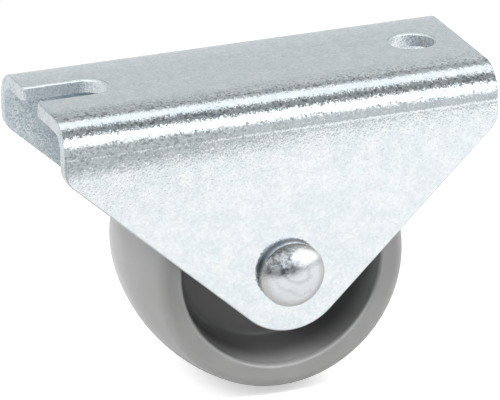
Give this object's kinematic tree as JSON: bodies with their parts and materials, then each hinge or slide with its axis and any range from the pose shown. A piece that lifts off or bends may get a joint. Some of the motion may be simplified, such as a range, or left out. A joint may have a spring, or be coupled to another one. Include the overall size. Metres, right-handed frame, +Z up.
{
  "type": "rigid furniture castor",
  "caption": "Rigid castor: plastic wheel on a riveted axle in a folded steel bracket with a plate on top, an open slot at one end and a screw hole at the other.",
  "frame": {"origin": "centre of the plate's top face, which lies against the furniture", "axes": "+X along the plate from the slotted end to the screw-hole end, Y along the axle with the domed head at -Y, +Z up out of the plate"},
  "size_m": [0.0494, 0.0249, 0.0349],
  "materials": {
    "zinc_sheet": "satin blue-clear zinc plating",
    "wheel_plastic": "smooth grey moulded plastic",
    "rivet_steel": "bright formed steel"
  },
  "bodies": {
    "housing": {"bracket": "zinc_sheet", "axle_rivet": "rivet_steel"},
    "roller": {"wheel": "wheel_plastic"}
  },
  "joints": [
    {"name": "wheel_spin", "type": "hinge", "parent": "housing", "child": "roller", "pos_m": [0.0004, 0, -0.0199], "axis": [0, 1, 0], "continuous": true}
  ]
}
